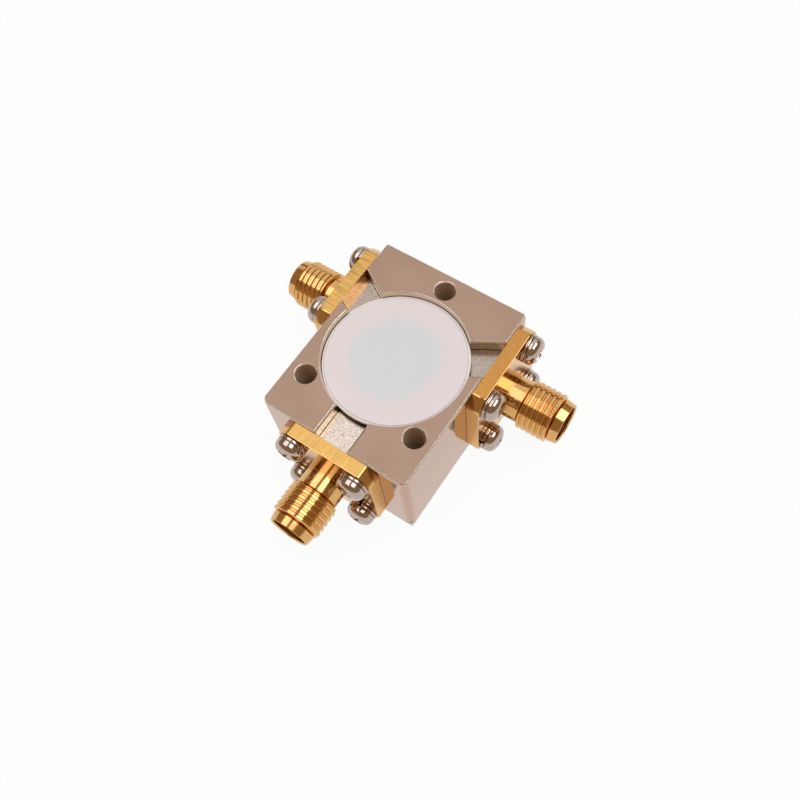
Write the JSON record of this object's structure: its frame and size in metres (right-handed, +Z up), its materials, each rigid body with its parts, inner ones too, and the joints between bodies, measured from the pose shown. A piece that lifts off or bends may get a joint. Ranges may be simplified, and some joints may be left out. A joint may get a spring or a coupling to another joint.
{
  "type": "coaxial circulator",
  "caption": "Flat plated metal block with a ferrite junction under a round white lid and threaded gold coaxial jacks on screwed flanges, which passes radio signals round one way.",
  "frame": {"origin": "on the base, under the middle of the junction bore", "axes": "+Z up from the base to the lid, -Y out of the front jack, +X out of the right jack"},
  "size_m": [0.0392, 0.0351, 0.013],
  "materials": {
    "plated_block": "satin nickel plate on steel, glossier on the side faces",
    "lid_steel": "satin nickel plate",
    "white_label": "satin white film with a pale grey middle",
    "conductor_sheet": "bright rolled sheet",
    "ferrite": "ground, matte",
    "spacer_plastic": "turned, matte",
    "pole_steel": "ground",
    "magnet": "ground, matte",
    "channel_metal": "brushed",
    "gold_jack": "polished gold plate",
    "insulator": "turned, matte",
    "gold_contact": "polished gold plate",
    "fastener_steel": "bright, polished"
  },
  "bodies": {
    "root": {"housing": "plated_block", "lid": "lid_steel", "label": "white_label", "centre_conductor": "conductor_sheet", "lower_ferrite": "ferrite", "upper_ferrite": "ferrite", "lower_spacer_ring": "spacer_plastic", "upper_spacer_ring": "spacer_plastic", "lower_pole_plate": "pole_steel", "upper_pole_plate": "pole_steel", "lower_magnet": "magnet", "upper_magnet": "magnet", "lower_shim": "pole_steel", "upper_shim": "pole_steel", "front_channel_block": "channel_metal", "right_channel_block": "channel_metal", "left_channel_block": "channel_metal", "front_jack_body": "gold_jack", "right_jack_body": "gold_jack", "left_jack_body": "gold_jack", "front_insulator": "insulator", "right_insulator": "insulator", "left_insulator": "insulator", "front_contact": "gold_contact", "right_contact": "gold_contact", "left_contact": "gold_contact", "front_lock_washers": "fastener_steel", "right_lock_washers": "fastener_steel", "left_lock_washers": "fastener_steel", "front_screws": "fastener_steel", "right_screws": "fastener_steel", "left_screws": "fastener_steel"}
  },
  "joints": []
}
